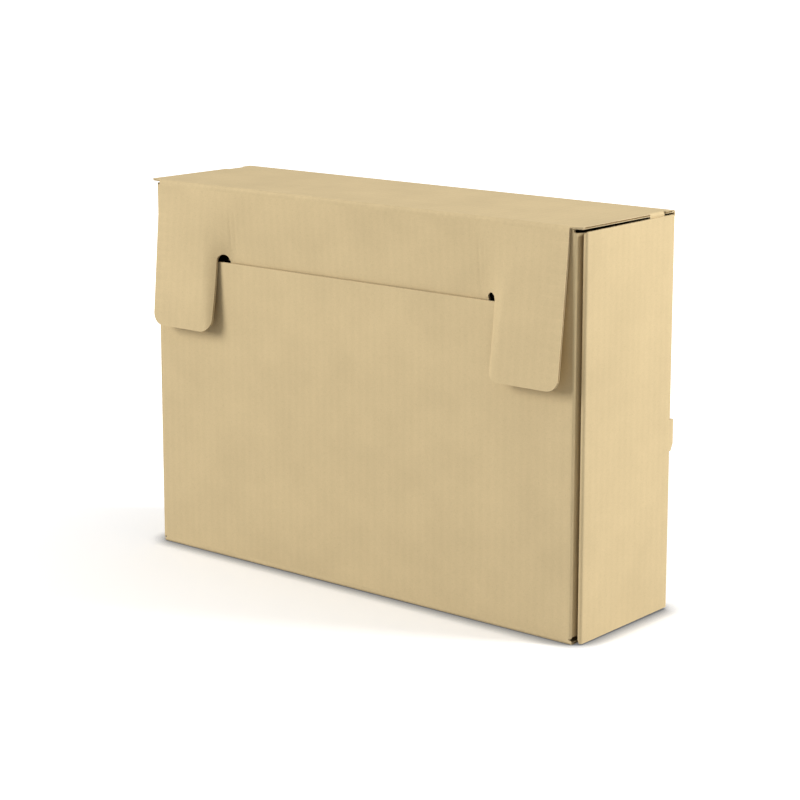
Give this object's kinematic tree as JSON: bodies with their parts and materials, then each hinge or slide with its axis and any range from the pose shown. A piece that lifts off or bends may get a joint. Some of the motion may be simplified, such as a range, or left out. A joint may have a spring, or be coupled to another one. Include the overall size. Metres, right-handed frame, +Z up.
{
  "type": "archival box",
  "caption": "Upright archival box of fine-flute corrugated board, with a hinged lid, closing flap with two ears and a tuck tongue, and a front panel that folds down.",
  "frame": {"origin": "middle of the underside, on the plane that the box stands on", "axes": "+X to the right seen from the front, -Y out of the front panel, +Z up"},
  "size_m": [0.387, 0.1195, 0.275],
  "materials": {
    "kraft_board": "matte"
  },
  "bodies": {
    "body": {"back_panel": "kraft_board", "bottom_panel": "kraft_board", "left_outer_side_wall": "kraft_board", "right_outer_side_wall": "kraft_board", "left_side_wall_rim": "kraft_board", "right_side_wall_rim": "kraft_board", "left_inner_side_wall": "kraft_board", "right_inner_side_wall": "kraft_board", "left_bottom_corner_flap": "kraft_board", "right_bottom_corner_flap": "kraft_board"},
    "lid": {"top_panel": "kraft_board"},
    "flap": {"closing_flap": "kraft_board", "left_ear": "kraft_board", "right_ear": "kraft_board"},
    "tongue": {"tuck_tongue": "kraft_board"},
    "front": {"front_panel": "kraft_board"},
    "left_side_flap": {"left_front_side_flap": "kraft_board"},
    "right_side_flap": {"right_front_side_flap": "kraft_board"},
    "left_end_tab": {"left_top_end_tab": "kraft_board"},
    "right_end_tab": {"right_top_end_tab": "kraft_board"}
  },
  "joints": [
    {"name": "lid_crease", "type": "hinge", "parent": "body", "child": "lid", "pos_m": [0, 0.0525, 0.275], "axis": [-1, 0, 0], "range_deg": [0, 180]},
    {"name": "flap_crease", "type": "hinge", "parent": "lid", "child": "flap", "pos_m": [0, -0.0544, 0.275], "axis": [-1, 0, 0], "range_deg": [0, 60]},
    {"name": "tongue_crease", "type": "hinge", "parent": "flap", "child": "tongue", "pos_m": [0, -0.0485, 0.22023], "axis": [-1, 0, 0], "range_deg": [-30, 40]},
    {"name": "front_crease", "type": "hinge", "parent": "body", "child": "front", "pos_m": [0, -0.0525, 0], "axis": [1, 0, 0], "range_deg": [0, 90]},
    {"name": "left_side_flap_crease", "type": "hinge", "parent": "front", "child": "left_side_flap", "pos_m": [-0.1863, -0.0509, 0], "axis": [0, 0, -1], "range_deg": [0, 85]},
    {"name": "right_side_flap_crease", "type": "hinge", "parent": "front", "child": "right_side_flap", "pos_m": [0.1863, -0.0509, 0], "axis": [0, 0, 1], "range_deg": [0, 85]},
    {"name": "left_end_tab_crease", "type": "hinge", "parent": "lid", "child": "left_end_tab", "pos_m": [-0.1901, 0, 0.2734], "axis": [0, -1, 0], "range_deg": [0, 85]},
    {"name": "right_end_tab_crease", "type": "hinge", "parent": "lid", "child": "right_end_tab", "pos_m": [0.1901, 0, 0.2734], "axis": [0, 1, 0], "range_deg": [0, 85]}
  ],
  "couplings": [
    {"joint": "flap_crease", "follows": "lid_crease", "ratio": 0.33333}
  ]
}
